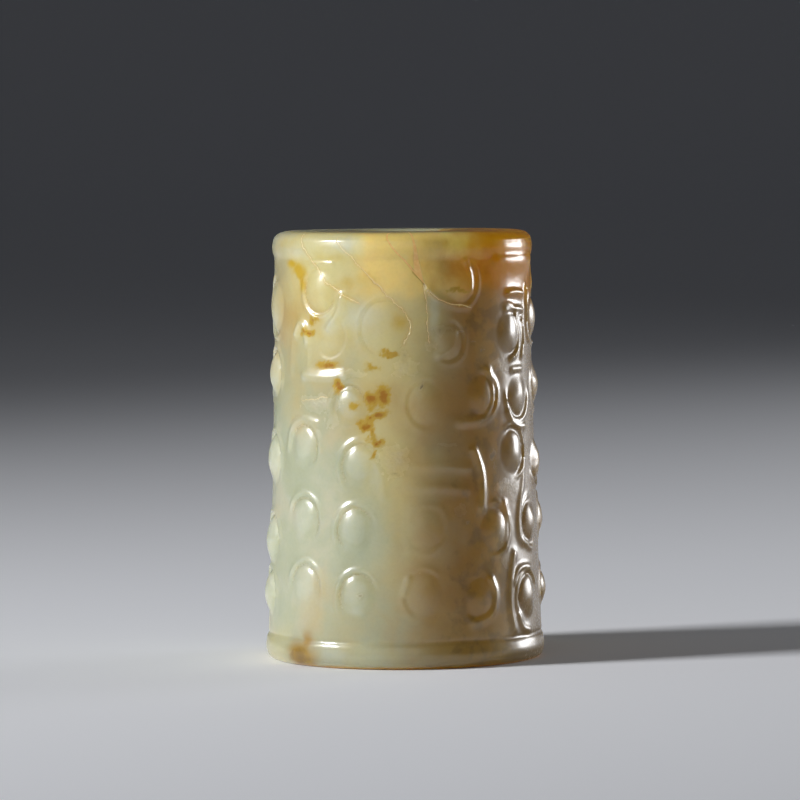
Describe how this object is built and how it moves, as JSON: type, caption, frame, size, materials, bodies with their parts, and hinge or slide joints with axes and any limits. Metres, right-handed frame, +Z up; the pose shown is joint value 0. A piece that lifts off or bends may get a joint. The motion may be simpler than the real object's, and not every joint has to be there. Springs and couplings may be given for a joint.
{
  "type": "jade tube pendant",
  "caption": "Carved nephrite tube bead with a cord bore, plain end bands, raised grain bosses all round and a re-set chip in its upper rim.",
  "frame": {"origin": "centre of the base, on the axis of the bore", "axes": "+Z up the bore from the wider base to the narrower top, -Y towards the pictured front, +X to its right"},
  "size_m": [0.0277, 0.0276, 0.042],
  "materials": {
    "jade": "polished pale celadon nephrite with brown and russet staining",
    "stained_jade": "polished nephrite stained honey yellow",
    "resin": "pinkish-brown repair resin, satin"
  },
  "bodies": {
    "root": {"jade_tube": "jade", "rim_chip": "stained_jade", "chip_bond": "resin"}
  },
  "joints": []
}
